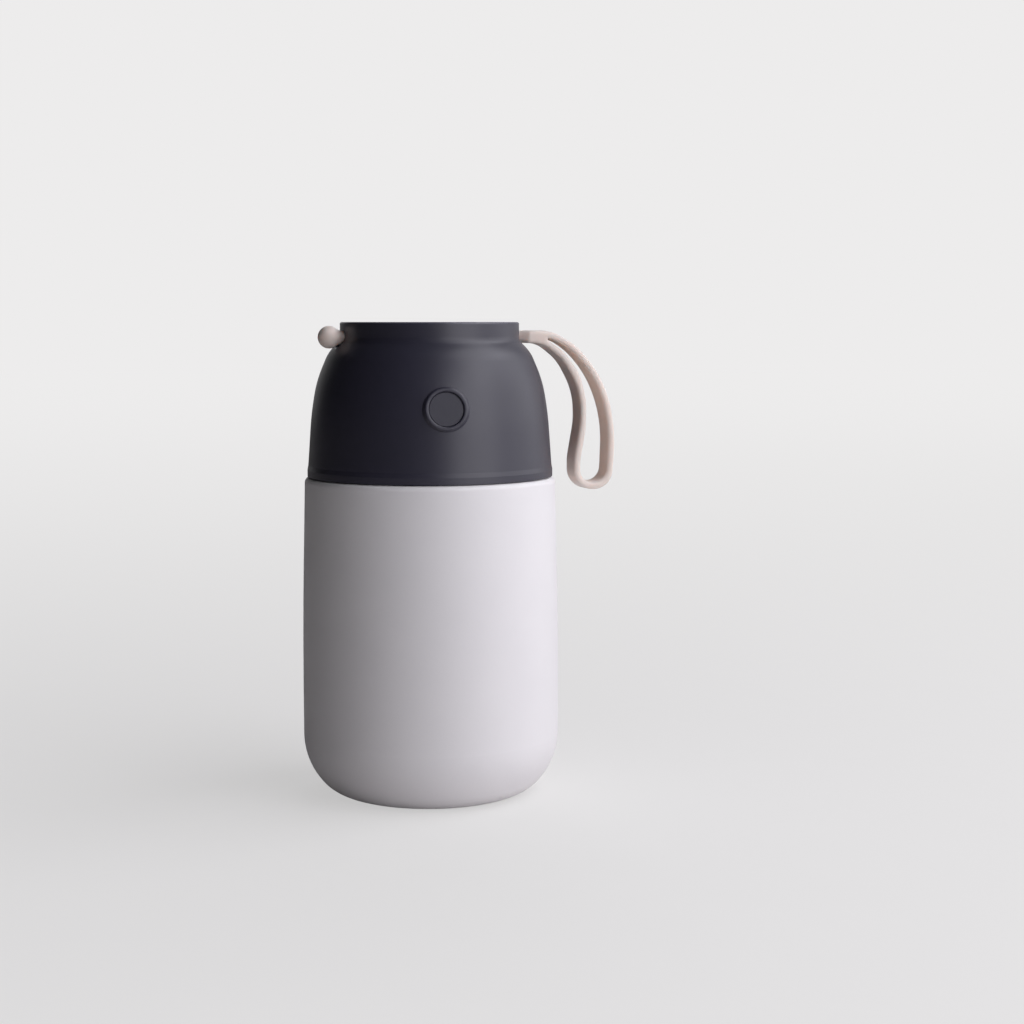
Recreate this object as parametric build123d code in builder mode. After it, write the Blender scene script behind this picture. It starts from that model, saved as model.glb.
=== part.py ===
"""An insulated food jar: a double-walled steel body, a screw stopper with a release
button, and a dome lid that screws over the stopper and turns over to be a bowl, with
a vent button in its side and a moulded strap through its neck.

Millimetres. +Z is up and the origin is on the jar's axis, on the surface it stands on.
The strap's rod lies along X, its ball at -X and its loop at +X. The lid's button faces -Y.
"""

from build123d import *
import os
from math import atan2, cos, radians, sin, tan

os.makedirs("parts", exist_ok=True)

# ---------------------------------------------------------------- fits shared by pieces
soft_gap = 0.3          # a rubber piece at rest, from a piece of another body
push_gap = 0.1          # a button in the well that guides it, on the radius
rod_gap = 0.15          # the strap's rod in its holes, on the radius
seat_gap = 0.1          # two pieces of one body, one slipped over the other
thread_gap = 0.3        # a thread's crest from the wall it faces
flank_gap = 0.25        # one thread's flank from the other's, when closed
blend_slack = 0.6       # straight left between two blends

# ---------------------------------------------------------------- edge roundings
fine_round = 0.4        # seals and other small pieces
edge_round = 0.6        # collar, flange and cap
touch_round = 0.8       # what fingers hold or press

# ---------------------------------------------------------------- body
body_radius = 52.0
body_height = 129.0     # base to shoulder
shoulder_lean = 1.4     # how far the side leans in, up to the shoulder
lean_drop = 59.0        # from the shoulder to where the side bends and leans
lean_reach = 24.0       # of that long soft bend, each way
toe_radius = 16.0       # base corner beside the foot
heel_radius = 28.0      # base corner beside the side
toe_turn = 50.0         # degrees of the corner that the toe takes
shoulder_round = 2.4
neck_fillet = 1.2
shell_wall = 0.6
foot_land = 3.8         # flat ring that the jar stands on, round the hole in its base

# ---------------------------------------------------------------- mouth
mouth_radius = 35.0     # 70 mm opening
mouth_rise = 16.2       # shoulder to the top of the shell's neck
liner_wall = 0.5
neck_gap = 0.6          # between the two necks
lip_thickness = 1.2
lip_overhang = 0.2      # beyond the shell's neck
lip_round = 0.45

# ---------------------------------------------------------------- liner and vacuum
vacuum_gap = 4.5        # between shell and liner at the side
base_gap = 8.9          # between shell and liner at the base
liner_toe = 13.0
liner_heel = 22.0
liner_shoulder_drop = 10.0   # below the body's shoulder
liner_neck_drop = 2.5
liner_shoulder_round = 8.0
liner_neck_round = 6.0
foil_thickness = 0.2
foil_margin = 6.0       # short of the liner's corner and shoulder

# ---------------------------------------------------------------- base plate
plate_thickness = 0.8
plate_overlap = 2.4     # the plate lies on the foot by this much
dimple_radius = 9.0
dimple_rise = 2.6
dimple_blend = 1.5
evacuation_radius = 1.0
plug_radius = 3.0
plug_thickness = 1.2
plug_draft = 30.0
getter_radius = 6.0
getter_thickness = 2.2

# ---------------------------------------------------------------- lid
hem_gap = 0.3           # lid above the shoulder
lid_height = 61.7
hem_radius = 49.5
hem_wall = 1.4
hem_height = 4.4        # the proud band along the lower edge
hem_step = 0.35
hem_slope = 1.8         # height over which the step fades into the wall
groove_height = 3.9     # room for the seal inside the hem
groove_depth = 1.7
lid_wall = 2.2
waist_height = 25.0     # the dome's corners, above the hem, and how far in they are
waist_inset = 1.45
crown_height = 38.2
crown_inset = 3.65
brow_height = 49.6
brow_inset = 8.45
waist_blend = 130.0
crown_blend = 50.0
brow_blend = 16.0
neck_root_blend = 3.5
lid_thread_zone = 17.2  # straight bore above the hem
bowl_corner = 5.0

# ---------------------------------------------------------------- neck ring of the lid
ring_radius = 36.0
ring_wall = 2.6
ring_rise = 7.3         # ring above the dome
recess_depth = 10.0

# ---------------------------------------------------------------- threads
lid_lead = 24.0
lid_starts = 4
lid_thread_depth = 1.2
lid_thread_root = 2.4
lid_thread_crest = 1.2
collar_thread_sweep = 75.0
lid_thread_sweep = 60.0
lid_thread_height = 7.4  # where the collar's ridges start, above the shoulder
stopper_lead = 12.0
stopper_starts = 3
stopper_thread_depth = 1.1
stopper_thread_root = 1.8
stopper_thread_crest = 1.0
liner_thread_sweep = 100.0
stopper_thread_sweep = 80.0
stopper_thread_height = 8.5
thread_bite = 0.3        # how far a ridge is rooted in its wall

# ---------------------------------------------------------------- neck collar
collar_height = 16.0
collar_web = 2.0
collar_sleeve = 2.0
collar_wall = 2.0
flange_thickness = 2.0

# ---------------------------------------------------------------- seals
lid_seal_height = 1.6
stopper_seal_height = 1.8
stopper_seal_inset = 0.8  # inside the mouth
stopper_seal_overhang = 0.5

# ---------------------------------------------------------------- vent button in the lid
button_height = 28.7     # above the hem
button_azimuth = 9.4     # degrees from -Y towards -X
button_radius = 6.6
button_thickness = 2.05
button_sink = 0.15       # its face below the lid's surface
button_round = 0.15
button_travel = 1.5
bezel_wall = 1.35        # the raised ring, and the well under it
bezel_crest = 0.45       # the raised ring above the lid's surface
bezel_round = 0.6
bezel_lean = 40.0        # degrees that the raised ring's outside leans, so that it fades
bezel_skirt = 1.6        # how far that outside goes on below the lid's surface
well_depth = 6.0
well_floor = 1.5
vent_stem_radius = 2.0
vent_stem_gap = 0.4
vent_spring_radius = 4.2
vent_spring_wire = 0.6
vent_spring_turns = 3.0
vent_seal_radius = 4.6
vent_seal_thickness = 1.5
vent_clip_radius = 3.6
clip_thickness = 0.8
stem_tip = 0.5           # stem beyond its clip

# ---------------------------------------------------------------- stopper
plug_depth = 20.0        # flange's underside to floor, less the seal
plug_wall = 1.8
plug_floor = 2.0
plug_chamfer = 2.0
vent_tube_radius = 3.0   # bore of the tube that the stem runs in
vent_tube_wall = 1.6
flange_radius = 38.2
stopper_flange = 2.2
cap_radius = 33.6
cap_base = 2.0
grip_radius = 25.0
grip_height = 11.0
grip_wall = 2.0
grip_flutes = 12
flute_radius = 4.0
flute_depth = 1.6
foam_gap = 0.2

# ---------------------------------------------------------------- release button
release_radius = 9.1
release_thickness = 5.0
release_proud = 0.6
release_travel = 2.0
release_well_wall = 1.6
release_stem_radius = 2.4
release_spring_radius = 6.2
release_spring_wire = 0.8
release_spring_turns = 3.5
valve_radius = 6.5
valve_thickness = 1.5
release_clip_radius = 4.2

# ---------------------------------------------------------------- strap
rod_radius = 2.5
rod_depth = 6.0          # rod's axis below the rim
ball_radius = 4.5
ball_reach = 5.6         # ball's centre beyond the ring
taper_start = 45.0       # degrees round the ball from the rod, where the taper leaves it
taper_length = 1.6
ribbon_width = 10.5
ribbon_round = 1.1
root_start = 1.0         # where the rod starts to widen, beyond the ring
root_reach = 5.0         # where it has become the full root, beyond the ring
root_top = 3.4           # below the rim
root_bottom = 8.6        # below the rim
relief_radius = 4.5      # notch in the lid's shoulder beside each hole
relief_length = 5.2


# ================================================================ shared shapes
def sheet_wall(points, blends, wall):
    """A revolved wall of even thickness, inside a line of straight runs and arcs."""
    with BuildPart() as body:
        with BuildSketch(Plane.XZ):
            with BuildLine():
                FilletPolyline(*points, radius=blends)
                offset(amount=wall, side=Side.LEFT, mode=Mode.REPLACE)
            make_face()
        revolve(axis=Axis.Z)
    return body.part


def thread_ridge(radius, outwards, depth, root, crest, lead, turn, height):
    """One start of a thread: a ridge on a helix, rooted in a wall of this radius."""
    way = 1 if outwards else -1
    with BuildPart() as ridge:
        with BuildLine() as helix:
            Helix(lead, lead * turn / 360, radius, center=(0, 0, height))
        with BuildSketch(Plane(origin=(radius, 0, height), x_dir=(1, 0, 0), z_dir=(0, -1, 0))):
            Polygon(
                (-way * thread_bite, -root / 2),
                (way * depth, -crest / 2),
                (way * depth, crest / 2),
                (-way * thread_bite, root / 2),
                align=None,
            )
        sweep(path=helix.line, is_frenet=True)
    return ridge.part


def coil_spring(plane, radius, wire, length, turns):
    """A compression spring that stands on this plane, just short of what it pushes."""
    rise = length - wire - seat_gap
    start = plane.offset(wire / 2)
    with BuildPart() as spring:
        with BuildLine() as helix:
            Helix(rise / turns, rise, radius, center=start.origin, direction=start.z_dir)
        with BuildSketch(Plane(origin=helix.line @ 0, z_dir=helix.line % 0)):
            Circle(wire / 2)
        sweep(path=helix.line, is_frenet=True)
    return spring.part


def washer(plane, bore, radius, thickness, edge=0.0):
    """A flat ring that stands on this plane, with its outer edges rounded."""
    with BuildPart() as ring:
        with BuildSketch(plane):
            Circle(radius)
            Circle(bore, mode=Mode.SUBTRACT)
        extrude(amount=thickness)
        if edge:
            outer = ring.edges().filter_by(GeomType.CIRCLE).group_by(SortBy.RADIUS)[-1]
            fillet(outer, edge)
    return ring.part


def corner_run(first, second, turn):
    """Length of the slanted run between a corner's two blends, and its share of each."""
    blends = first * tan(radians(turn / 2)) + second * tan(radians((90 - turn) / 2))
    return blends + blend_slack


def lean_blend(height):
    """Radius of the bend where the side starts to lean in, over a side of this height."""
    return lean_reach / tan(atan2(shoulder_lean, height) / 2)


def cup_line(radius, floor, toe, heel, lean, foot=0.0):
    """Points of a cup's outline, from the foot up to the lean, with a two-arc corner."""
    run = corner_run(toe, heel, toe_turn)
    return [
        (foot, floor),
        (radius - run * cos(radians(toe_turn)), floor),
        (radius, floor + run * sin(radians(toe_turn))),
        (radius, lean),
    ]


# ================================================================ body
shell_neck_radius = mouth_radius + liner_wall + neck_gap + shell_wall
neck_top = body_height + mouth_rise
lip_top = neck_top + lip_thickness
shoulder_radius = body_radius - shoulder_lean
lean_height = body_height - lean_drop
toe_reach = toe_radius * tan(radians(toe_turn / 2))
corner_inset = corner_run(toe_radius, heel_radius, toe_turn) * cos(radians(toe_turn))
base_hole_radius = body_radius - corner_inset - toe_reach - foot_land

# The steel skin runs from the hole in the base, round the corner, up the side, over the
# shoulder and up the neck.
shell_line = cup_line(body_radius, 0, toe_radius, heel_radius, lean_height, base_hole_radius) + [
    (shoulder_radius, body_height),
    (shell_neck_radius, body_height),
    (shell_neck_radius, neck_top),
]
shell_blends = [toe_radius, heel_radius, lean_blend(lean_drop), shoulder_round, neck_fillet]
with BuildPart() as outer_shell:
    add(sheet_wall(shell_line, shell_blends, shell_wall))
outer_shell.part.label = "outer_shell"
export_step(outer_shell.part, "parts/outer_shell.step")

# The food cup: a floor, a corner, a side that keeps its distance from the skin, a
# shoulder and a neck, then a lip that is rolled over the skin's neck.
liner_radius = body_radius - shell_wall - vacuum_gap
liner_floor = shell_wall + base_gap
liner_neck_radius = mouth_radius + liner_wall
liner_shoulder_z = body_height - liner_shoulder_drop
liner_lean_blend = lean_blend(liner_shoulder_z - lean_height)
liner_line = cup_line(liner_radius, liner_floor, liner_toe, liner_heel, lean_height) + [
    (liner_radius - shoulder_lean, liner_shoulder_z),
    (liner_neck_radius, body_height - liner_neck_drop),
    (liner_neck_radius, lip_top - lip_thickness / 2),
]
liner_blends = [liner_toe, liner_heel, liner_lean_blend, liner_shoulder_round, liner_neck_round]
stopper_mean = (stopper_thread_root + stopper_thread_crest) / 2
liner_thread_z = body_height + stopper_thread_height
liner_ridge = thread_ridge(
    mouth_radius,
    False,
    stopper_thread_depth,
    stopper_thread_root,
    stopper_thread_crest,
    stopper_lead,
    liner_thread_sweep,
    liner_thread_z,
)
lip_radius = shell_neck_radius + lip_overhang
with BuildPart() as inner_liner:
    add(sheet_wall(liner_line, liner_blends, liner_wall))
    with BuildSketch(Plane.XZ):
        with Locations(((mouth_radius + lip_radius) / 2, lip_top - lip_thickness / 2)):
            RectangleRounded(lip_radius - mouth_radius, lip_thickness, lip_round)
    revolve(axis=Axis.Z)
    with PolarLocations(0, stopper_starts):
        add(liner_ridge)
inner_liner.part.label = "inner_liner"
export_step(inner_liner.part, "parts/inner_liner.step")


# Heat foil: a thin sleeve laid on the liner's side.
foil_foot = liner_floor + corner_run(liner_toe, liner_heel, toe_turn) + foil_margin
foil_top = liner_shoulder_z - foil_margin
foil_lean = shoulder_lean * (foil_top - lean_height) / (liner_shoulder_z - lean_height)
with BuildPart() as liner_foil:
    with BuildSketch(Plane.XZ):
        with BuildLine():
            FilletPolyline(
                (liner_radius + seat_gap, foil_foot),
                (liner_radius + seat_gap, lean_height),
                (liner_radius - foil_lean + seat_gap, foil_top),
                radius=liner_lean_blend,
            )
            offset(amount=foil_thickness, side=Side.RIGHT, mode=Mode.REPLACE)
        make_face()
    revolve(axis=Axis.Z)
liner_foil.part.label = "liner_foil"
export_step(liner_foil.part, "parts/liner_foil.step")

# The plate lies on the inside of the foot and rises to a dimple, in which the evacuation
# hole is drilled and sealed.
plate_radius = base_hole_radius + plate_overlap
with BuildPart() as base_plate:
    with BuildSketch(Plane.XZ):
        with BuildLine():
            FilletPolyline(
                (evacuation_radius, shell_wall + dimple_rise),
                (dimple_radius, shell_wall + dimple_rise),
                (dimple_radius + dimple_rise, shell_wall),
                (plate_radius, shell_wall),
                radius=dimple_blend,
            )
            offset(amount=plate_thickness, side=Side.LEFT, mode=Mode.REPLACE)
        make_face()
    revolve(axis=Axis.Z)
base_plate.part.label = "base_plate"
export_step(base_plate.part, "parts/base_plate.step")

# A bead of solder fills the hole and spreads under the dimple.
dimple_under = shell_wall + dimple_rise
with BuildPart() as vacuum_plug:
    with BuildSketch(Plane.XY.offset(dimple_under)):
        Circle(evacuation_radius)
    extrude(amount=plate_thickness)
    with BuildSketch(Plane.XY.offset(dimple_under)):
        Circle(plug_radius)
    extrude(amount=-plug_thickness, taper=plug_draft)
vacuum_plug.part.label = "vacuum_plug"
export_step(vacuum_plug.part, "parts/vacuum_plug.step")

# The getter is spotted to the liner's floor, in the vacuum.
with BuildPart() as getter:
    with BuildSketch(Plane.XY.offset(liner_floor)):
        Circle(getter_radius)
    extrude(amount=-getter_thickness)
    fillet(getter.faces().sort_by(Axis.Z)[0].edges(), fine_round)
getter.part.label = "getter"
export_step(getter.part, "parts/getter.step")

# ================================================================ neck collar
hem_bore = hem_radius - hem_wall
lid_bore = hem_bore - groove_depth
lid_crest = lid_bore - lid_thread_depth
collar_radius = lid_crest - thread_gap
lid_thread_z = body_height + lid_thread_height
collar_ridge = thread_ridge(
    collar_radius,
    True,
    lid_thread_depth,
    lid_thread_root,
    lid_thread_crest,
    lid_lead,
    collar_thread_sweep,
    lid_thread_z,
)
collar_bore = shell_neck_radius + seat_gap
flange_rim = hem_bore - soft_gap
with BuildPart() as neck_collar:
    with BuildSketch(Plane.XZ):
        with BuildLine():
            Polyline(
                (collar_bore, body_height),
                (collar_bore + collar_sleeve, body_height),
                (collar_bore + collar_sleeve, body_height + collar_height - collar_web),
                (collar_radius - collar_wall, body_height + collar_height - collar_web),
                (collar_radius - collar_wall, body_height),
                (flange_rim, body_height),
                (flange_rim, body_height + flange_thickness),
                (collar_radius, body_height + flange_thickness),
                (collar_radius, body_height + collar_height),
                (collar_bore, body_height + collar_height),
                close=True,
            )
        make_face()
    revolve(axis=Axis.Z)
    fillet(neck_collar.faces().sort_by(Axis.Z)[-1].edges(), edge_round)
    # the neck's fillet needs room at the foot of the sleeve
    with BuildSketch(Plane.XY.offset(body_height)):
        Circle(collar_bore + neck_fillet)
    extrude(amount=neck_fillet, taper=45, mode=Mode.SUBTRACT)
    with PolarLocations(0, lid_starts):
        add(collar_ridge)
neck_collar.part.label = "neck_collar"
export_step(neck_collar.part, "parts/neck_collar.step")

# ================================================================ lid
hem_z = body_height + hem_gap
rim_z = hem_z + lid_height
wall_radius = hem_radius - hem_step
waist = (wall_radius - waist_inset, hem_z + waist_height)
crown = (wall_radius - crown_inset, hem_z + crown_height)
brow = (wall_radius - brow_inset, hem_z + brow_height)
ring_root = (ring_radius, rim_z - ring_rise)
recess_z = rim_z - recess_depth
ceiling_z = recess_z - lid_wall
dome_line = [(wall_radius, hem_z + hem_height), waist, crown, brow, ring_root, (ring_radius, rim_z)]
dome_blends = [waist_blend, crown_blend, brow_blend, neck_root_blend]

# The button's place on the dome: on the run from waist to crown, square to it.
button_z = hem_z + button_height
dome_tilt = atan2(waist[0] - crown[0], crown[1] - waist[1])
button_reach = waist[0] - (button_z - waist[1]) * tan(dome_tilt)
button_turn = radians(button_azimuth)
front = Vector(-sin(button_turn), -cos(button_turn), 0)
outward = front * cos(dome_tilt) + Vector(0, 0, sin(dome_tilt))
button_plane = Plane(
    origin=front * button_reach + Vector(0, 0, button_z),
    x_dir=Vector(0, 0, 1).cross(front),
    z_dir=outward,
)
well_radius = button_radius + push_gap
boss_radius = well_radius + bezel_wall
rod_z = rim_z - rod_depth
rod_hole = rod_radius + rod_gap

lid_ridge = thread_ridge(
    lid_bore,
    False,
    lid_thread_depth,
    lid_thread_root,
    lid_thread_crest,
    lid_lead,
    lid_thread_sweep,
    0,
)
# Closed, each ridge of the lid lies just under one of the collar's, half way along it.
lid_ridge_lead_in = (collar_thread_sweep - lid_thread_sweep) / 2
lid_mean = (lid_thread_root + lid_thread_crest) / 2
lid_ridge_z = lid_thread_z + lid_lead * lid_ridge_lead_in / 360 - lid_mean - flank_gap

# The boss that the button's well is cut in, from the well's floor to the raised ring.
with BuildPart() as button_boss:
    with BuildSketch(Plane.XY.offset(-well_depth - well_floor)):
        Circle(boss_radius)
    extrude(amount=well_depth + well_floor)
    with BuildSketch(Plane.XY.offset(bezel_crest)):
        Circle(boss_radius)
    extrude(amount=-bezel_crest - bezel_skirt, taper=-bezel_lean)
    fillet(button_boss.faces().sort_by(Axis.Z)[-1].edges(), bezel_round)

with BuildPart() as lid_bowl:
    with BuildSketch(Plane.XZ):
        with BuildLine():
            Polyline(
                (hem_bore, hem_z),
                (hem_radius, hem_z),
                (hem_radius, hem_z + hem_height - hem_slope),
                (wall_radius, hem_z + hem_height),
            )
            FilletPolyline(*dome_line, radius=dome_blends)
            Polyline(
                (ring_radius, rim_z),
                (ring_radius - ring_wall, rim_z),
                (ring_radius - ring_wall, recess_z),
                (0, recess_z),
                (0, ceiling_z),
            )
            FilletPolyline(
                (0, ceiling_z),
                (ring_radius + lid_wall, ceiling_z),
                (crown[0] - lid_wall / cos(dome_tilt), crown[1]),
                (waist[0] - lid_wall, waist[1]),
                (lid_bore, hem_z + lid_thread_zone),
                (lid_bore, hem_z + groove_height),
                radius=[bowl_corner, crown_blend, waist_blend, waist_blend / 2],
            )
            Polyline(
                (lid_bore, hem_z + groove_height),
                (hem_bore, hem_z + groove_height),
                (hem_bore, hem_z),
            )
        make_face()
    revolve(axis=Axis.Z)
    rim_edges = lid_bowl.edges().filter_by(GeomType.CIRCLE).group_by(Axis.Z)[-1]
    fillet(rim_edges, touch_round)
    with Locations(button_plane):
        add(button_boss.part)
    with BuildSketch(button_plane.offset(-well_depth)):
        Circle(well_radius)
    extrude(amount=2 * well_depth, mode=Mode.SUBTRACT)
    with BuildSketch(button_plane.offset(-well_depth)):
        Circle(vent_stem_radius + vent_stem_gap)
    extrude(amount=-2 * well_floor, mode=Mode.SUBTRACT)
    crest = lid_bowl.faces().filter_by(GeomType.PLANE).sort_by(Axis(button_plane.origin, outward))[-1]
    fillet(crest.edges().sort_by(SortBy.RADIUS)[0], bezel_round)
    # the rod's two holes through the ring, and the notch in the shoulder beside each
    with BuildSketch(Plane.YZ.offset(-ring_radius - relief_length)):
        with Locations((0, rod_z)):
            Circle(rod_hole)
    extrude(amount=2 * (ring_radius + relief_length), mode=Mode.SUBTRACT)
    for side in (-1, 1):
        with BuildSketch(Plane.YZ.offset(side * (ring_radius + relief_length))):
            with Locations((0, rod_z)):
                Circle(relief_radius)
        extrude(amount=-side * (relief_length - touch_round), mode=Mode.SUBTRACT)
    with Locations((0, 0, lid_ridge_z)):
        with PolarLocations(0, lid_starts, start_angle=lid_ridge_lead_in):
            add(lid_ridge)
lid_bowl.part.label = "lid_bowl"
export_step(lid_bowl.part, "parts/lid_bowl.step")

# The seal ring sits in the hem's groove, over the collar's flange.
seal_bore = collar_radius + lid_thread_depth + soft_gap
with BuildPart() as lid_seal:
    add(
        washer(
            Plane.XY.offset(body_height + flange_thickness + soft_gap),
            seal_bore,
            flange_rim,
            lid_seal_height,
            edge=fine_round,
        )
    )
lid_seal.part.label = "lid_seal"
export_step(lid_seal.part, "parts/lid_seal.step")

# ================================================================ vent button in the lid
button_back = -button_sink - button_thickness
vent_seal_w = -well_depth - well_floor - soft_gap
vent_clip_w = vent_seal_w - vent_seal_thickness
vent_stem_end = vent_clip_w - clip_thickness - stem_tip
with BuildPart() as vent_button:
    with BuildSketch(button_plane.offset(button_back)):
        Circle(button_radius)
    extrude(amount=button_thickness)
    front_edge = vent_button.edges().sort_by(Axis(button_plane.origin, outward))[-1]
    fillet(front_edge, button_round)
    with BuildSketch(button_plane.offset(button_back)):
        Circle(vent_stem_radius)
    extrude(amount=vent_stem_end - button_back)
vent_button.part.label = "vent_button"
export_step(vent_button.part, "parts/vent_button.step")

with BuildPart() as vent_spring:
    add(
        coil_spring(
            button_plane.offset(-well_depth),
            vent_spring_radius,
            vent_spring_wire,
            well_depth + button_back,
            vent_spring_turns,
        )
    )
vent_spring.part.label = "vent_spring"
export_step(vent_spring.part, "parts/vent_spring.step")

with BuildPart() as vent_seal:
    add(
        washer(
            button_plane.offset(vent_clip_w),
            vent_stem_radius,
            vent_seal_radius,
            vent_seal_thickness,
            edge=fine_round,
        )
    )
vent_seal.part.label = "vent_seal"
export_step(vent_seal.part, "parts/vent_seal.step")

with BuildPart() as vent_clip:
    add(
        washer(
            button_plane.offset(vent_clip_w - clip_thickness),
            vent_stem_radius,
            vent_clip_radius,
            clip_thickness,
        )
    )
vent_clip.part.label = "vent_clip"
export_step(vent_clip.part, "parts/vent_clip.step")

# ================================================================ stopper
stopper_seal_z = lip_top + soft_gap
flange_z = stopper_seal_z + stopper_seal_height + soft_gap
floor_z = flange_z - plug_depth - stopper_seal_height - 2 * soft_gap
plug_radius_outer = mouth_radius - stopper_thread_depth - thread_gap
cap_z = flange_z + stopper_flange
stopper_ridge = thread_ridge(
    plug_radius_outer,
    True,
    stopper_thread_depth,
    stopper_thread_root,
    stopper_thread_crest,
    stopper_lead,
    stopper_thread_sweep,
    0,
)
stopper_lead_in = (liner_thread_sweep - stopper_thread_sweep) / 2
stopper_ridge_z = (
    liner_thread_z + stopper_lead * stopper_lead_in / 360 - stopper_mean - flank_gap
)
tube_radius = vent_tube_radius + vent_tube_wall
with BuildPart() as stopper_body:
    with BuildSketch(Plane.XZ):
        with BuildLine():
            Polyline(
                (vent_tube_radius, floor_z),
                (plug_radius_outer - plug_chamfer, floor_z),
                (plug_radius_outer, floor_z + plug_chamfer),
                (plug_radius_outer, flange_z),
                (flange_radius, flange_z),
                (flange_radius, cap_z),
                (plug_radius_outer - plug_wall, cap_z),
                (plug_radius_outer - plug_wall, floor_z + plug_floor),
                (tube_radius, floor_z + plug_floor),
                (tube_radius, cap_z),
                (vent_tube_radius, cap_z),
                close=True,
            )
        make_face()
    revolve(axis=Axis.Z)
    rim = stopper_body.edges().filter_by(GeomType.CIRCLE).group_by(SortBy.RADIUS)[-1]
    fillet(rim, edge_round)
    with Locations((0, 0, stopper_ridge_z)):
        with PolarLocations(0, stopper_starts, start_angle=stopper_lead_in):
            add(stopper_ridge)
stopper_body.part.label = "stopper_body"
export_step(stopper_body.part, "parts/stopper_body.step")

with BuildPart() as stopper_foam:
    add(
        washer(
            Plane.XY.offset(floor_z + plug_floor),
            tube_radius + foam_gap,
            plug_radius_outer - plug_wall - foam_gap,
            cap_z - floor_z - plug_floor - foam_gap,
        )
    )
stopper_foam.part.label = "stopper_foam"
export_step(stopper_foam.part, "parts/stopper_foam.step")

with BuildPart() as stopper_seal:
    add(
        washer(
            Plane.XY.offset(stopper_seal_z),
            mouth_radius - stopper_seal_inset,
            lip_radius + stopper_seal_overhang,
            stopper_seal_height,
            edge=fine_round,
        )
    )
stopper_seal.part.label = "stopper_seal"
export_step(stopper_seal.part, "parts/stopper_seal.step")

# The cap closes the plug, carries the fluted grip and holds the button's well.
grip_top = cap_z + cap_base + grip_height
release_well = release_radius + push_gap
with BuildPart() as stopper_cap:
    with BuildSketch(Plane.XY.offset(cap_z)):
        Circle(cap_radius)
    extrude(amount=cap_base)
    fillet(stopper_cap.faces().sort_by(Axis.Z)[-1].edges(), edge_round)
    with BuildSketch(Plane.XY.offset(cap_z)):
        Circle(grip_radius)
        with PolarLocations(grip_radius + flute_radius - flute_depth, grip_flutes):
            Circle(flute_radius, mode=Mode.SUBTRACT)
    extrude(amount=cap_base + grip_height)
    fillet(stopper_cap.faces().sort_by(Axis.Z)[-1].edges(), touch_round)
    # hollow under the grip, round the well
    with BuildSketch(Plane.XY.offset(cap_z)):
        Circle(grip_radius - flute_depth - grip_wall)
        Circle(release_well + release_well_wall, mode=Mode.SUBTRACT)
    extrude(amount=cap_base + grip_height - grip_wall, mode=Mode.SUBTRACT)
    with BuildSketch(Plane.XY.offset(cap_z + cap_base)):
        Circle(release_well)
    extrude(amount=grip_height, mode=Mode.SUBTRACT)
    with BuildSketch(Plane.XY.offset(cap_z)):
        Circle(vent_tube_radius)
    extrude(amount=cap_base, mode=Mode.SUBTRACT)
stopper_cap.part.label = "stopper_cap"
export_step(stopper_cap.part, "parts/stopper_cap.step")

# ================================================================ release button
release_under = grip_top + release_proud - release_thickness
valve_top = floor_z - soft_gap
clip_top = valve_top - valve_thickness
stem_end = clip_top - clip_thickness - stem_tip
with BuildPart() as release_button:
    with BuildSketch(Plane.XY.offset(release_under)):
        Circle(release_radius)
    extrude(amount=release_thickness)
    fillet(release_button.faces().sort_by(Axis.Z)[-1].edges(), touch_round)
    with BuildSketch(Plane.XY.offset(release_under)):
        Circle(release_stem_radius)
    extrude(amount=stem_end - release_under)
release_button.part.label = "release_button"
export_step(release_button.part, "parts/release_button.step")

with BuildPart() as release_spring:
    add(
        coil_spring(
            Plane.XY.offset(cap_z + cap_base),
            release_spring_radius,
            release_spring_wire,
            release_under - cap_z - cap_base,
            release_spring_turns,
        )
    )
release_spring.part.label = "release_spring"
export_step(release_spring.part, "parts/release_spring.step")

with BuildPart() as release_valve:
    add(
        washer(
            Plane.XY.offset(clip_top),
            release_stem_radius,
            valve_radius,
            valve_thickness,
            edge=fine_round,
        )
    )
release_valve.part.label = "release_valve"
export_step(release_valve.part, "parts/release_valve.step")

with BuildPart() as release_clip:
    add(
        washer(
            Plane.XY.offset(clip_top - clip_thickness),
            release_stem_radius,
            release_clip_radius,
            clip_thickness,
        )
    )
release_clip.part.label = "release_clip"
export_step(release_clip.part, "parts/release_clip.step")

# ================================================================ strap
# The loop's side view, as (x beyond the ring, depth below the rim): once round it from
# the root's top to the root's bottom, and once round the opening from the slit's tip.
loop_line = [
    (root_reach, root_top),
    (14.4, root_top),
    (25.5, 8.9),
    (36.4, 21.6),
    (41.6, 35.0),
    (43.4, 49.7),
    (41.5, 69.2),
    (24.9, 69.2),
    (24.9, 55.9),
    (27.6, 41.0),
    (27.4, 28.8),
    (20.1, 15.7),
    (10.9, root_bottom),
    (root_reach, root_bottom),
]
loop_blends = [22.0, 32.0, 44.0, 50.0, 70.0, 8.0, 8.4, 20.0, 30.0, 30.0, 22.0, 12.0]
slit_line = [
    (11.0, 6.05),
    (16.4, 7.3),
    (23.5, 11.2),
    (32.4, 21.0),
    (37.7, 32.7),
    (40.2, 45.0),
    (39.3, 66.0),
    (27.75, 66.0),
    (27.75, 57.0),
    (30.3, 43.6),
    (30.3, 32.0),
    (27.4, 21.3),
    (20.5, 12.2),
]
slit_blends = [0.45, 17.0, 30.0, 42.0, 48.0, 52.0, 5.8, 4.8, 22.0, 32.0, 26.0, 20.0, 14.0]
loop_points = [(ring_radius + x, rim_z - depth) for x, depth in loop_line]
slit_points = [(ring_radius + x, rim_z - depth) for x, depth in slit_line]
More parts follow.
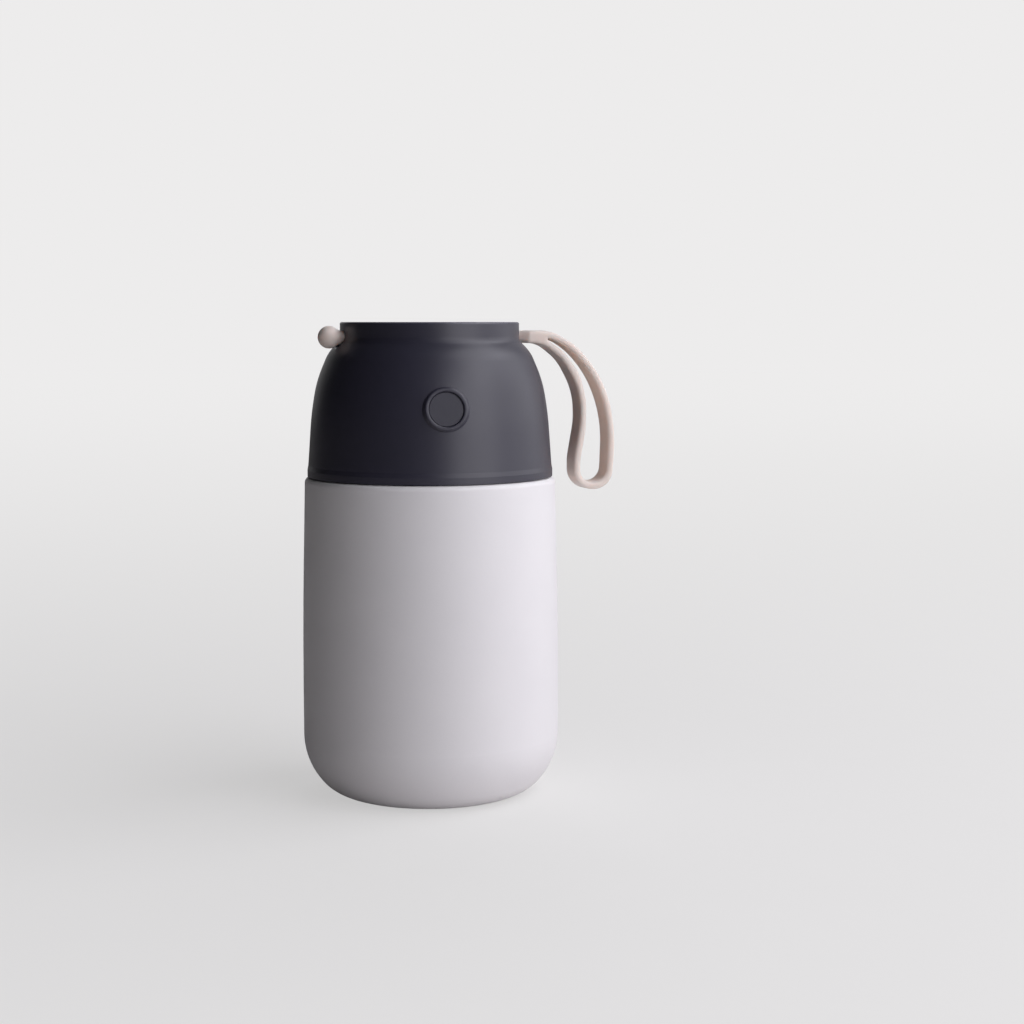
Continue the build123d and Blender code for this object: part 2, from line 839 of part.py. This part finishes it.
with BuildPart() as strap_loop:
    with BuildSketch(Plane.XZ):
        with BuildLine():
            FilletPolyline(*loop_points, radius=loop_blends)
            Line(loop_points[-1], loop_points[0])
        make_face()
        with BuildLine():
            FilletPolyline(*slit_points, radius=slit_blends, close=True)
        make_face(mode=Mode.SUBTRACT)
    extrude(amount=ribbon_width / 2, both=True)
    cheeks = strap_loop.faces().filter_by(Axis.Y)
    fillet(cheeks.edges().sort_by(Axis.X)[2:], ribbon_round)

ball_x = ring_radius + ball_reach
taper_x = ball_x - ball_radius * cos(radians(taper_start))
with BuildPart() as carry_strap:
    with BuildSketch(Plane.YZ.offset(-taper_x)):
        with Locations((0, rod_z)):
            Circle(rod_radius)
    extrude(amount=taper_x + ring_radius + root_start)
    with Locations((-ball_x, 0, rod_z)):
        Sphere(ball_radius)
    with BuildSketch(Plane.YZ.offset(-taper_x)):
        with Locations((0, rod_z)):
            Circle(ball_radius * sin(radians(taper_start)))
    with BuildSketch(Plane.YZ.offset(-taper_x + taper_length)):
        with Locations((0, rod_z)):
            Circle(rod_radius)
    loft()
    with BuildSketch(Plane.YZ.offset(ring_radius + root_start)):
        with Locations((0, rod_z)):
            Circle(rod_radius)
    with BuildSketch(Plane.YZ.offset(ring_radius + root_reach)):
        with Locations((0, rim_z - (root_top + root_bottom) / 2)):
            RectangleRounded(ribbon_width, root_bottom - root_top, ribbon_round)
    loft()
    add(strap_loop.part)
carry_strap.part.label = "carry_strap"
export_step(carry_strap.part, "parts/carry_strap.step")
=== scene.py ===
"""Looks of the insulated food jar: finishes for every part, the moulded soft pieces, a pale
studio and the camera, in the part's own frame: +Z up, the jar standing on Z = 0. Sizes on the
jar are millimetres, made metres by MM; the studio's sizes are metres."""

from math import atan2, cos, pi, radians, sin, tan

import bmesh
import bpy
from mathutils import Matrix, Vector


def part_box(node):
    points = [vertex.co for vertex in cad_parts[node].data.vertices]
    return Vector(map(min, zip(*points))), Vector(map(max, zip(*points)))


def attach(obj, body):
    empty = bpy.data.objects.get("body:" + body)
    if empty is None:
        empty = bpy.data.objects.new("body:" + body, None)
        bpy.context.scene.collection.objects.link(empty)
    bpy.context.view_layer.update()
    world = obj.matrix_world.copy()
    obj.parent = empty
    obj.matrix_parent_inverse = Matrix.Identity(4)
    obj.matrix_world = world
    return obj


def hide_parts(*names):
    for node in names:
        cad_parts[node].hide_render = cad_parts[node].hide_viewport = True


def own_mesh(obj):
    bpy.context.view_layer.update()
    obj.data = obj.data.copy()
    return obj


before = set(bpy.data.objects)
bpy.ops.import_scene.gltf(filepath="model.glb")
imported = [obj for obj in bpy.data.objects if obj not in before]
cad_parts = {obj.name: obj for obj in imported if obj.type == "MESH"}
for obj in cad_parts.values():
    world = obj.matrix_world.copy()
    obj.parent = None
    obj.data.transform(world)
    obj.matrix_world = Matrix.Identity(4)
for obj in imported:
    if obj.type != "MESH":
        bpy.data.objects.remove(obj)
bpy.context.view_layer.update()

MM = 0.001
above = Vector((0, 0, 1))


def measured(node_name):
    """A CAD node's radius, its lowest and its highest point, in millimetres rounded to
    hundredths."""
    low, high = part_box(node_name)
    return [round(value / MM, 2) for value in (high[0], low[2], high[2])]


# Heights on the jar, in millimetres.
RIM = measured("lid_bowl")[2]
POWDER_END = 130.0
FOOT_WEAR = 0.5


# ---------------------------------------------------------------- small tools
def colour(code):
    """An sRGB hex value, such as "c8beba", as a linear colour."""
    shares = [int(code[i : i + 2], 16) / 255 for i in (0, 2, 4)]
    return [s / 12.92 if s <= 0.04045 else ((s + 0.055) / 1.055) ** 2.4 for s in shares] + [1.0]


def add(tree, kind, inputs=None, **settings):
    """A shader node of this kind with its settings. Each input is a value, or is linked
    from a socket or from a node's first output."""
    made = tree.nodes.new("ShaderNode" + kind)
    for name, value in settings.items():
        setattr(made, name, value)
    for name, value in (inputs or {}).items():
        if isinstance(value, bpy.types.Node):
            value = value.outputs[0]
        if isinstance(value, bpy.types.NodeSocket):
            tree.links.new(value, made.inputs[name])
        else:
            made.inputs[name].default_value = value
    return made


def blank_material(name):
    """A material with an empty tree, that tree, and the place on the object."""
    made = bpy.data.materials.new(name)
    made.use_nodes = True
    tree = made.node_tree
    tree.nodes.clear()
    return made, tree, add(tree, "TexCoord").outputs["Object"]


# ---------------------------------------------------------------- finishes
def powder_coated_steel():
    """White polyester powder, sprayed and baked on steel: matt, with the faint waves of
    orange peel about 2 mm apart. It ends just above the shoulder, and the neck is bare
    steel. The ring that the jar stands on is rubbed greyer."""
    material, tree, place = blank_material("white_polyester_powder_coat")
    height = add(tree, "SeparateXYZ", {"Vector": place}).outputs["Z"]
    bare = add(
        tree,
        "MapRange",
        {"Value": height, "From Min": POWDER_END * MM, "From Max": (POWDER_END + 0.4) * MM},
    )
    rubbed = add(
        tree,
        "MapRange",
        {"Value": height, "From Min": FOOT_WEAR * MM, "From Max": 0.05 * MM},
    )
    cloud = add(tree, "TexNoise", {"Vector": place, "Scale": 1 / (30 * MM)})
    peel = add(tree, "TexNoise", {"Vector": place, "Scale": 1 / (2 * MM), "Detail": 1.0})
    speck = add(tree, "TexNoise", {"Vector": place, "Scale": 1 / (0.5 * MM)})
    tone = add(
        tree,
        "Mix",
        {"Factor": cloud, 6: colour("e7e5e7"), 7: colour("edebec")},
        data_type="RGBA",
    )
    scuffed = add(
        tree,
        "Mix",
        {"Factor": rubbed, 6: tone.outputs[2], 7: colour("cfcbc8")},
        data_type="RGBA",
    )
    skin = add(
        tree,
        "Mix",
        {"Factor": bare, 6: scuffed.outputs[2], 7: colour("b9b6b1")},
        data_type="RGBA",
    )
    matt = add(
        tree,
        "MapRange",
        {"Value": speck, "From Min": 0.3, "From Max": 0.7, "To Min": 0.5, "To Max": 0.6},
    )
    waves = add(tree, "Bump", {"Height": peel, "Distance": 0.02 * MM})
    finer = add(tree, "Bump", {"Height": speck, "Distance": 0.006 * MM, "Normal": waves})
    surface = add(
        tree,
        "BsdfPrincipled",
        {
            "Base Color": skin.outputs[2],
            "Metallic": bare,
            "Roughness": matt,
            "Normal": finer,
            "IOR": 1.5,
        },
    )
    add(tree, "OutputMaterial", {"Surface": surface})
    return material


def moulded_polypropylene(name, dark, light, gloss, texture, rim=None):
    """Polypropylene, injection moulded in a spark-eroded tool: a fine, even matt grain
    that gives broad soft highlights. Real grain is about 0.05 mm; it is drawn as coarse as
    the texture says. A lid's rim, at this height, is set down when the lid serves as a
    bowl and is rubbed smoother there; its top edge is also painted paler, a painted
    highlight for the thin bright line that light from above lays along it."""
    material, tree, place = blank_material(name)
    flow = add(tree, "TexNoise", {"Vector": place, "Scale": 1 / (22 * MM)})
    pits = add(
        tree,
        "TexNoise",
        {"Vector": place, "Scale": 1 / (texture * MM), "Detail": 3.0, "Roughness": 0.6},
    )
    tone = add(
        tree, "Mix", {"Factor": flow, 6: colour(dark), 7: colour(light)}, data_type="RGBA"
    )
    matt = add(
        tree,
        "MapRange",
        {
            "Value": pits,
            "From Min": 0.3,
            "From Max": 0.7,
            "To Min": gloss - 0.04,
            "To Max": gloss + 0.05,
        },
    )
    if rim:
        height = add(tree, "SeparateXYZ", {"Vector": place}).outputs["Z"]
        # The rim's top edge gets smoother where it is rubbed, and paler as a painted highlight:
        # the thin bright line that light from above lays along it.
        rim_wear_and_highlight = add(
            tree,
            "MapRange",
            {"Value": height, "From Min": (rim - 0.7) * MM, "From Max": (rim - 0.3) * MM},
        )
        tone = add(
            tree,
            "Mix",
            {"Factor": rim_wear_and_highlight, 6: tone.outputs[2], 7: colour("5b5a68")},
            data_type="RGBA",
        )
        matt = add(tree, "MapRange", {"Value": rim_wear_and_highlight, "To Min": matt, "To Max": gloss - 0.12})
    grain = add(tree, "Bump", {"Height": pits, "Distance": 0.012 * MM})
    surface = add(
        tree,
        "BsdfPrincipled",
        {"Base Color": tone.outputs[2], "Roughness": matt, "Normal": grain, "IOR": 1.52},
    )
    add(tree, "OutputMaterial", {"Surface": surface})
    return material


def soft_silicone(name, dark, light, glow, parting=0.0):
    """Silicone rubber, compression moulded: matt and faintly dusty, and light enters it a
    little, so its edges and shadows are soft. Where the mould's halves met, on Y = 0, a
    strap keeps a parting line this many millimetres high."""
    material, tree, place = blank_material(name)
    dust = add(tree, "TexNoise", {"Vector": place, "Scale": 1 / (6 * MM), "Detail": 4.0})
    skin = add(tree, "TexNoise", {"Vector": place, "Scale": 1 / (0.45 * MM)})
    tone = add(
        tree, "Mix", {"Factor": dust, 6: colour(dark), 7: colour(light)}, data_type="RGBA"
    )
    matt = add(
        tree,
        "MapRange",
        {"Value": skin, "From Min": 0.3, "From Max": 0.7, "To Min": 0.52, "To Max": 0.62},
    )
    across = add(
        tree,
        "Math",
        {0: add(tree, "SeparateXYZ", {"Vector": place}).outputs["Y"]},
        operation="ABSOLUTE",
    )
    line = add(
        tree,
        "MapRange",
        {"Value": across, "From Min": 0.22 * MM, "From Max": 0.08 * MM},
    )
    flash = add(tree, "Bump", {"Height": line, "Distance": parting * MM})
    bumps = add(tree, "Bump", {"Height": skin, "Distance": 0.01 * MM, "Normal": flash})
    surface = add(
        tree,
        "BsdfPrincipled",
        {
            "Base Color": tone.outputs[2],
            "Roughness": matt,
            "Normal": bumps,
            "IOR": 1.41,
            "Subsurface Weight": glow,
            "Subsurface Radius": (1.0, 0.85, 0.78),
            "Subsurface Scale": 5.0 * MM,
        },
    )
    add(tree, "OutputMaterial", {"Surface": surface})
    return material


def turned_steel():
    """Stainless steel polished on a spindle: hairlines run round the axis, about 0.1 mm
    apart, drawn at 0.4 mm so that they show."""
    material, tree, place = blank_material("stainless_steel_spindle_brushed")
    parts = add(tree, "SeparateXYZ", {"Vector": place})
    flat = add(tree, "CombineXYZ", {"X": parts.outputs["X"], "Y": parts.outputs["Y"]})
    reach = add(tree, "VectorMath", {0: flat}, operation="LENGTH").outputs["Value"]
    track = add(tree, "CombineXYZ", {"X": reach, "Z": parts.outputs["Z"]})
    hairs = add(
        tree,
        "TexNoise",
        {"Vector": track, "Scale": 1 / (0.4 * MM), "Detail": 3.0, "Roughness": 0.7},
    )
    stain = add(tree, "TexNoise", {"Vector": place, "Scale": 1 / (18 * MM), "Detail": 3.0})
    tone = add(
        tree,
        "Mix",
        {"Factor": stain, 6: colour("b4b1ac"), 7: colour("c4c1bc")},
        data_type="RGBA",
    )
    polish = add(
        tree,
        "MapRange",
        {"Value": hairs, "From Min": 0.3, "From Max": 0.7, "To Min": 0.22, "To Max": 0.4},
    )
    lines = add(tree, "Bump", {"Height": hairs, "Distance": 0.004 * MM})
    surface = add(
        tree,
        "BsdfPrincipled",
        {"Base Color": tone.outputs[2], "Metallic": 1.0, "Roughness": polish, "Normal": lines},
    )
    add(tree, "OutputMaterial", {"Surface": surface})
    return material


def crinkled_foil():
    """Aluminium foil wrapped by hand: bright, with flat facets about 7 mm across between
    fine creases."""
    material, tree, place = blank_material("aluminium_foil_crinkled")
    facets = add(tree, "TexVoronoi", {"Vector": place, "Scale": 1 / (7 * MM)})
    ripple = add(tree, "TexNoise", {"Vector": place, "Scale": 1 / (2 * MM)})
    tone = add(
        tree,
        "Mix",
        {"Factor": facets, 6: colour("d6d6d8"), 7: colour("c2c2c5")},
        data_type="RGBA",
    )
    gloss = add(
        tree,
        "MapRange",
        {"Value": ripple, "From Min": 0.3, "From Max": 0.7, "To Min": 0.18, "To Max": 0.32},
    )
    creases = add(tree, "Bump", {"Height": facets, "Distance": 0.25 * MM})
    surface = add(
        tree,
        "BsdfPrincipled",
        {"Base Color": tone.outputs[2], "Metallic": 1.0, "Roughness": gloss, "Normal": creases},
    )
    add(tree, "OutputMaterial", {"Surface": surface})
    return material


def pitted_metal(name, dark, light, gloss, lumps):
    """Small metal pieces that were melted, pressed or drawn: dull, with a pitted skin."""
    material, tree, place = blank_material(name)
    pits = add(
        tree,
        "TexNoise",
        {"Vector": place, "Scale": 1 / (lumps * MM), "Detail": 4.0, "Roughness": 0.6},
    )
    tone = add(
        tree, "Mix", {"Factor": pits, 6: colour(dark), 7: colour(light)}, data_type="RGBA"
    )
    polish = add(
        tree,
        "MapRange",
        {
            "Value": pits,
            "From Min": 0.3,
            "From Max": 0.7,
            "To Min": gloss - 0.08,
            "To Max": gloss + 0.12,
        },
    )
    skin = add(tree, "Bump", {"Height": pits, "Distance": 0.05 * MM})
    surface = add(
        tree,
        "BsdfPrincipled",
        {"Base Color": tone.outputs[2], "Metallic": 1.0, "Roughness": polish, "Normal": skin},
    )
    add(tree, "OutputMaterial", {"Surface": surface})
    return material


def beaded_foam():
    """Expanded polystyrene: white beads about 3 mm across, pressed flat on each other."""
    material, tree, place = blank_material("expanded_polystyrene_beads")
    beads = add(tree, "TexVoronoi", {"Vector": place, "Scale": 1 / (3 * MM)})
    tone = add(
        tree,
        "Mix",
        {"Factor": beads, 6: colour("f4f4f0"), 7: colour("e4e4de")},
        data_type="RGBA",
    )
    matt = add(tree, "MapRange", {"Value": beads, "To Min": 0.6, "To Max": 0.8})
    domes = add(tree, "Bump", {"Height": beads, "Distance": -0.3 * MM})
    surface = add(
        tree,
        "BsdfPrincipled",
        {"Base Color": tone.outputs[2], "Roughness": matt, "Normal": domes, "IOR": 1.5},
    )
    add(tree, "OutputMaterial", {"Surface": surface})
    return material


slate = moulded_polypropylene("slate_polypropylene_lid", "2e2d39", "333240", 0.38, 0.4, RIM)
slate_button = moulded_polypropylene(
    "slate_polypropylene_button", "2b2a36", "2e2d3a", 0.42, 0.35
)
slate_inner = moulded_polypropylene(
    "slate_polypropylene_stopper", "27282f", "2c2d35", 0.36, 0.5
)
blush = soft_silicone("blush_silicone_strap", "e0d3ca", "e8dbd3", 0.7, parting=0.1)
milky = soft_silicone("milky_silicone_seal", "d6d6d1", "e0e0dc", 0.2)
coat = powder_coated_steel()
steel = turned_steel()
foil = crinkled_foil()
solder = pitted_metal("tin_solder_bead", "8f8f92", "a6a6a8", 0.34, 1.0)
sinter = pitted_metal("sintered_getter_pill", "5f5d5a", "757370", 0.6, 0.6)
wire = pitted_metal("drawn_spring_wire", "8f8f8f", "a8a8a8", 0.28, 0.4)
foam = beaded_foam()

dressing = {
    "outer_shell": coat,
    "inner_liner": steel,
    "base_plate": steel,
    "liner_foil": foil,
    "vacuum_plug": solder,
    "getter": sinter,
    "neck_collar": slate_inner,
    "lid_bowl": slate,
    "lid_seal": milky,
    "vent_button": slate_button,
    "vent_spring": wire,
    "vent_seal": milky,
    "vent_clip": slate_inner,
    "stopper_body": slate_inner,
    "stopper_foam": foam,
    "stopper_seal": milky,
    "stopper_cap": slate_inner,
    "release_button": slate_button,
    "release_spring": wire,
    "release_valve": milky,
    "release_clip": slate_inner,
    "carry_strap": blush,
}
for node_name, finish in dressing.items():
    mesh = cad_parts[node_name].data
    mesh.materials.clear()
    mesh.materials.append(finish)


# ---------------------------------------------------------------- moulded pieces
SAME_POINT = 0.001 * MM


def finished_piece(name, shape, finish):
    """A mesh object at the origin, made from a bmesh, smooth and in its finish."""
    mesh = bpy.data.meshes.new(name)
    shape.to_mesh(mesh)
    shape.free()
    mesh.shade_smooth()
    mesh.materials.append(finish)
    piece = bpy.data.objects.new(name, mesh)
    bpy.context.scene.collection.objects.link(piece)
    return piece


def turned_piece(name, profile, finish, stand=Matrix(), rounds=96):
    """A ring turned from a closed profile of (radius, height) in millimetres, on the axis
    that this matrix gives it."""
    ring = bmesh.new()
    corners = [ring.verts.new((r * MM, 0, z * MM)) for r, z in profile]
    edges = [ring.edges.new(pair) for pair in zip(corners, corners[1:] + corners[:1])]
    bmesh.ops.spin(
        ring,
        geom=corners + edges,
        axis=(0, 0, 1),
        cent=(0, 0, 0),
        angle=2 * pi,
        steps=rounds,
        use_merge=True,
    )
    bmesh.ops.remove_doubles(ring, verts=ring.verts, dist=SAME_POINT)
    bmesh.ops.recalc_face_normals(ring, faces=ring.faces)
    bmesh.ops.transform(ring, matrix=stand, verts=ring.verts)
    piece = finished_piece(name, ring, finish)
    rounding = piece.modifiers.new("soft_edges", "BEVEL")
    rounding.width = 0.12 * MM
    rounding.segments = 2
    rounding.limit_method = "ANGLE"
    rounding.angle_limit = radians(35)
    return piece


def merged_copy(node_name):
    """A bmesh of a CAD node's shape, with its loose triangles joined."""
    shape = bmesh.new()
    shape.from_mesh(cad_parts[node_name].data)
    bmesh.ops.remove_doubles(shape, verts=shape.verts, dist=SAME_POINT)
    return shape


def takes_over(piece, node_name, body):
    """The piece stands for this CAD node and moves with its body."""
    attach(piece, body)
    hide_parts(node_name)


def moulded_strap():
    """The strap is one moulding: its rod, ball, root and loop run into each other softly."""
    strap = finished_piece("carry_strap_moulded", merged_copy("carry_strap"), blush)
    skinned = strap.modifiers.new("one_skin", "REMESH")
    skinned.mode = "VOXEL"
    skinned.voxel_size = 0.4 * MM
    skinned.use_smooth_shade = True
    softened = strap.modifiers.new("moulded_softness", "SMOOTH")
    softened.factor = 0.5
    softened.iterations = 8
    takes_over(strap, "carry_strap", "strap")


def soft_seal(name, node_name, body, edge, back, profile, stand=Matrix(), rounds=96):
    """A silicone seal with real lips. Each point of its profile lies this far in from the
    seal's edge and this far down from its back, in millimetres."""
    turned = [(edge - inwards, back - down) for inwards, down in profile]
    seal = turned_piece(name, turned, milky, stand, rounds)
    takes_over(seal, node_name, body)


def pressed_coil(node_name, body):
    """A copy of a CAD node's spring, in the wire's finish, that stands for the node and
    moves with its body, with a mesh of its own."""
    spring = finished_piece(node_name + "_coil", merged_copy(node_name), wire)
    takes_over(spring, node_name, body)
    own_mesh(spring)


moulded_strap()

# The lid's seal is a ring with two lips that face down on the collar's flange.
lid_seal_edge, _, lid_seal_back = measured("lid_seal")
soft_seal(
    "lid_seal_lipped",
    "lid_seal",
    "lid_gasket",
    lid_seal_edge,
    lid_seal_back,
    [
        (1.4, 0.0), (0.0, 0.0), (0.0, 1.2), (0.18, 1.6), (0.4, 1.2),
        (0.7, 0.95), (1.0, 1.2), (1.22, 1.6), (1.4, 1.2),
    ],
)

# The stopper's seal has a flat back under the flange and a thick rounded lip on the mouth.
stopper_seal_edge, _, stopper_seal_back = measured("stopper_seal")
soft_seal(
    "stopper_seal_lipped",
    "stopper_seal",
    "stopper_gasket",
    stopper_seal_edge,
    stopper_seal_back,
    [
        (3.2, 0.0), (0.0, 0.0), (0.0, 0.8), (0.35, 1.3), (1.0, 1.75),
        (1.8, 1.8), (2.4, 1.5), (2.8, 1.15), (3.2, 1.2),
    ],
)

# The release valve is an umbrella: thick at the stem, thin at its rim.
valve_edge, _, valve_rim = measured("release_valve")
soft_seal(
    "release_valve_umbrella",
    "release_valve",
    "release",
    valve_edge,
    valve_rim,
    [
        (4.1, 1.5), (2.5, 1.5), (1.1, 1.1), (0.05, 0.4), (0.0, 0.0),
        (0.6, 0.1), (1.9, 0.35), (3.1, 0.1), (4.1, 0.0),
    ],
)

# The vent button stands square to the lid's dome, which leans in above its waist.
BUTTON_AZIMUTH = radians(9.4)
BUTTON_HEIGHT = 158.0
WAIST_RADIUS = 47.7
WAIST_HEIGHT = 154.3
DOME_TILT = atan2(2.2, 13.2)
button_front = Vector((-sin(BUTTON_AZIMUTH), -cos(BUTTON_AZIMUTH), 0))
button_out = button_front * cos(DOME_TILT) + above * sin(DOME_TILT)
button_reach = WAIST_RADIUS - (BUTTON_HEIGHT - WAIST_HEIGHT) * tan(DOME_TILT)
button_face = button_front * button_reach + above * BUTTON_HEIGHT
button_stand = button_out.to_track_quat("Z", "Y").to_matrix().to_4x4()
button_stand.translation = button_face * MM

# The lid's vent closes with a smaller umbrella, this far behind the button's face.
VENT_SEAL_EDGE = 4.6
VENT_SEAL_DEPTH = 7.8
soft_seal(
    "vent_seal_umbrella",
    "vent_seal",
    "vent",
    VENT_SEAL_EDGE,
    -VENT_SEAL_DEPTH,
    [
        (2.6, 1.5), (1.4, 1.5), (0.4, 1.0), (0.0, 0.3),
        (0.1, 0.0), (0.7, 0.4), (1.6, 0.55), (2.6, 0.3),
    ],
    button_stand,
    rounds=64,
)

pressed_coil(
    "vent_spring", "lid"
)

pressed_coil(
    "release_spring", "stopper"
)

# The weld that joins the plate to the edge of the hole in the shell's base.
WELD_EDGE = 28.98
PLATE_UNDERSIDE = 0.58
weld = turned_piece(
    "base_weld_bead",
    [
        (WELD_EDGE, PLATE_UNDERSIDE),
        (WELD_EDGE, 0.2),
        (WELD_EDGE - 0.23, 0.22),
        (WELD_EDGE - 0.48, 0.36),
        (WELD_EDGE - 0.6, PLATE_UNDERSIDE),
    ],
    solder,
)
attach(weld, "jar")


# ---------------------------------------------------------------- studio
FAR_WHITE = colour("edecec")
LAMP_WHITE = colour("f5f4fa")
TABLE_REACH = 12
JAR_MIDDLE = 0.1
CAMERA_REACH = 0.76
AIM_RIGHT = 0.0332
AIM_HEIGHT = 0.114
TURN = radians(17)
to_camera = Vector((-sin(TURN), -cos(TURN), 0))
to_right = Vector((cos(TURN), -sin(TURN), 0))


def studio_floor():
    """A wide pale table that turns into the backdrop's own tone away from the jar. It
    throws a little less light on the jar than it shows, and metal and glass see the
    backdrop's white in it towards the lit right side."""
    table = bmesh.new()
    bmesh.ops.create_grid(table, x_segments=2, y_segments=2, size=TABLE_REACH)
    material, tree, place = blank_material("pale_studio_paper")
    fibres = add(tree, "TexNoise", {"Vector": place, "Scale": 1 / (40 * MM)})
    tone = add(
        tree,
        "Mix",
        {"Factor": fibres, 6: colour("e6e5e4"), 7: colour("e9e8e7")},
        data_type="RGBA",
    )
    path = add(tree, "LightPath")
    bounced = add(
        tree,
        "Mix",
        {
            "Factor": path.outputs["Is Camera Ray"],
            6: colour("dad7d5"),
            7: tone.outputs[2],
        },
        data_type="RGBA",
    )
    paper = add(
        tree, "BsdfPrincipled", {"Base Color": bounced.outputs[2], "Roughness": 0.85}
    )
    far = add(tree, "Emission", {"Color": FAR_WHITE, "Strength": 1.0})
    mirrored = add(
        tree,
        "Math",
        {0: path.outputs["Is Glossy Ray"], 1: path.outputs["Is Transmission Ray"]},
        operation="MAXIMUM",
    )
    rightness = add(tree, "VectorMath", {0: place, 1: to_right}, operation="DOT_PRODUCT")
    glow = add(
        tree,
        "MapRange",
        {"Value": rightness.outputs["Value"], "From Min": -0.1, "From Max": 2.0},
    )
    reach = add(tree, "VectorMath", {0: place}, operation="LENGTH").outputs["Value"]
    depth = add(tree, "Math", {0: reach, 1: CAMERA_REACH}, operation="ADD")
    nearness = add(tree, "Math", {0: CAMERA_REACH, 1: depth}, operation="DIVIDE")
    fade = add(
        tree,
        "MapRange",
        {"Value": nearness, "From Min": 1.0, "From Max": 0.1, "To Min": 0.62, "To Max": 1.0},
        interpolation_type="SMOOTHSTEP",
    )
    mirror_share = add(tree, "Math", {0: glow, 1: mirrored}, operation="MULTIPLY")
    view_share = add(
        tree, "Math", {0: fade, 1: path.outputs["Is Camera Ray"]}, operation="MULTIPLY"
    )
    share = add(tree, "Math", {0: view_share, 1: mirror_share}, operation="MAXIMUM")
    shown = add(tree, "MixShader", {0: share, 1: paper, 2: far})
    add(tree, "OutputMaterial", {"Surface": shown})
    floor = finished_piece("studio_floor", table, material)


def studio_world(dim, bright):
    """Weak soft light from all round, this dim on the left and this bright on the right.
    The camera sees the pale backdrop in its place, and so do mirror images of the right
    side and, in part, of what lies behind the jar."""
    world = bpy.data.worlds.new("studio_world")
    bpy.context.scene.world = world
    world.use_nodes = True
    tree = world.node_tree
    tree.nodes.clear()
    way = add(tree, "TexCoord").outputs["Generated"]
    rightness = add(tree, "VectorMath", {0: way, 1: to_right}, operation="DOT_PRODUCT")
    strength = add(
        tree,
        "MapRange",
        {
            "Value": rightness.outputs["Value"],
            "From Min": -0.6,
            "From Max": 0.9,
            "To Min": dim,
            "To Max": bright,
        },
        interpolation_type="SMOOTHSTEP",
    )
    light = add(tree, "Background", {"Color": colour("f2f3f6"), "Strength": strength})
    shown = add(tree, "Background", {"Color": FAR_WHITE, "Strength": 1.0})
    path = add(tree, "LightPath")
    seen = add(
        tree,
        "Math",
        {0: path.outputs["Is Camera Ray"], 1: path.outputs["Is Transmission Ray"]},
        operation="MAXIMUM",
    )
    lit_side = add(
        tree,
        "MapRange",
        {"Value": rightness.outputs["Value"], "From Min": 0.2, "From Max": 1.0},
        interpolation_type="SMOOTHSTEP",
    )
    behind = add(tree, "VectorMath", {0: way, 1: -to_camera}, operation="DOT_PRODUCT")
    far_side = add(
        tree,
        "MapRange",
        {"Value": behind.outputs["Value"], "From Min": 0.6, "From Max": 1.0, "To Max": 0.6},
        interpolation_type="SMOOTHSTEP",
    )
    reflected = add(tree, "Math", {0: lit_side, 1: far_side}, operation="MAXIMUM")
    mirrored = add(
        tree, "Math", {0: path.outputs["Is Glossy Ray"], 1: reflected}, operation="MULTIPLY"
    )
    share = add(tree, "Math", {0: seen, 1: mirrored}, operation="MAXIMUM")
    mixed = add(tree, "MixShader", {0: share, 1: light, 2: shown})
    add(tree, "OutputWorld", {"Surface": mixed})


def softbox(name, place, width, height, power):
    """A soft rectangular lamp at this place that faces the middle of the jar."""
    lamp = bpy.data.lights.new(name, "AREA")
    lamp.shape = "RECTANGLE"
    lamp.size = width
    lamp.size_y = height
    lamp.energy = power
    lamp.color = LAMP_WHITE[:3]
    made = bpy.data.objects.new(name, lamp)
    bpy.context.scene.collection.objects.link(made)
    made.location = place
    made.rotation_mode = "QUATERNION"
    made.rotation_quaternion = (above * JAR_MIDDLE - place).to_track_quat("-Z", "Y")


def round_the_jar(degrees, reach, height):
    """A place this far from the axis, this many degrees to the right of the camera."""
    way = to_camera * cos(radians(degrees)) + to_right * sin(radians(degrees))
    return way * reach + above * height


studio_floor()
studio_world(dim=0.01, bright=0.1)
bpy.context.scene.view_settings.view_transform = "Standard"

# The main light stands to the camera's right; the others lift the right side, the top and
# the back. Each has its width, its height and its power in watts.
softbox("front_softbox", round_the_jar(43, 1.2, 0.5), 1.1, 1.0, 8.6)
softbox("side_softbox", round_the_jar(98, 1.2, 0.6), 1.2, 1.0, 4.3)
softbox("top_softbox", round_the_jar(80, 0.6, 0.95), 1.0, 0.6, 5.0)
softbox("back_softbox", round_the_jar(172, 1.4, 1.15), 1.0, 0.6, 3.6)

# The camera stands level with the rim, turned a little to the left of the jar's front.
lens = bpy.data.cameras.new("studio_camera")
lens.sensor_width = 36
lens.lens = 66
lens.clip_start = 0.01
camera = bpy.data.objects.new("studio_camera", lens)
bpy.context.scene.collection.objects.link(camera)
camera.location = to_camera * CAMERA_REACH + above * RIM * MM
camera_aim = to_right * AIM_RIGHT + above * AIM_HEIGHT
camera.rotation_mode = "QUATERNION"
camera.rotation_quaternion = (camera_aim - camera.location).to_track_quat("-Z", "Y")
bpy.context.scene.camera = camera

bpy.context.view_layer.update()
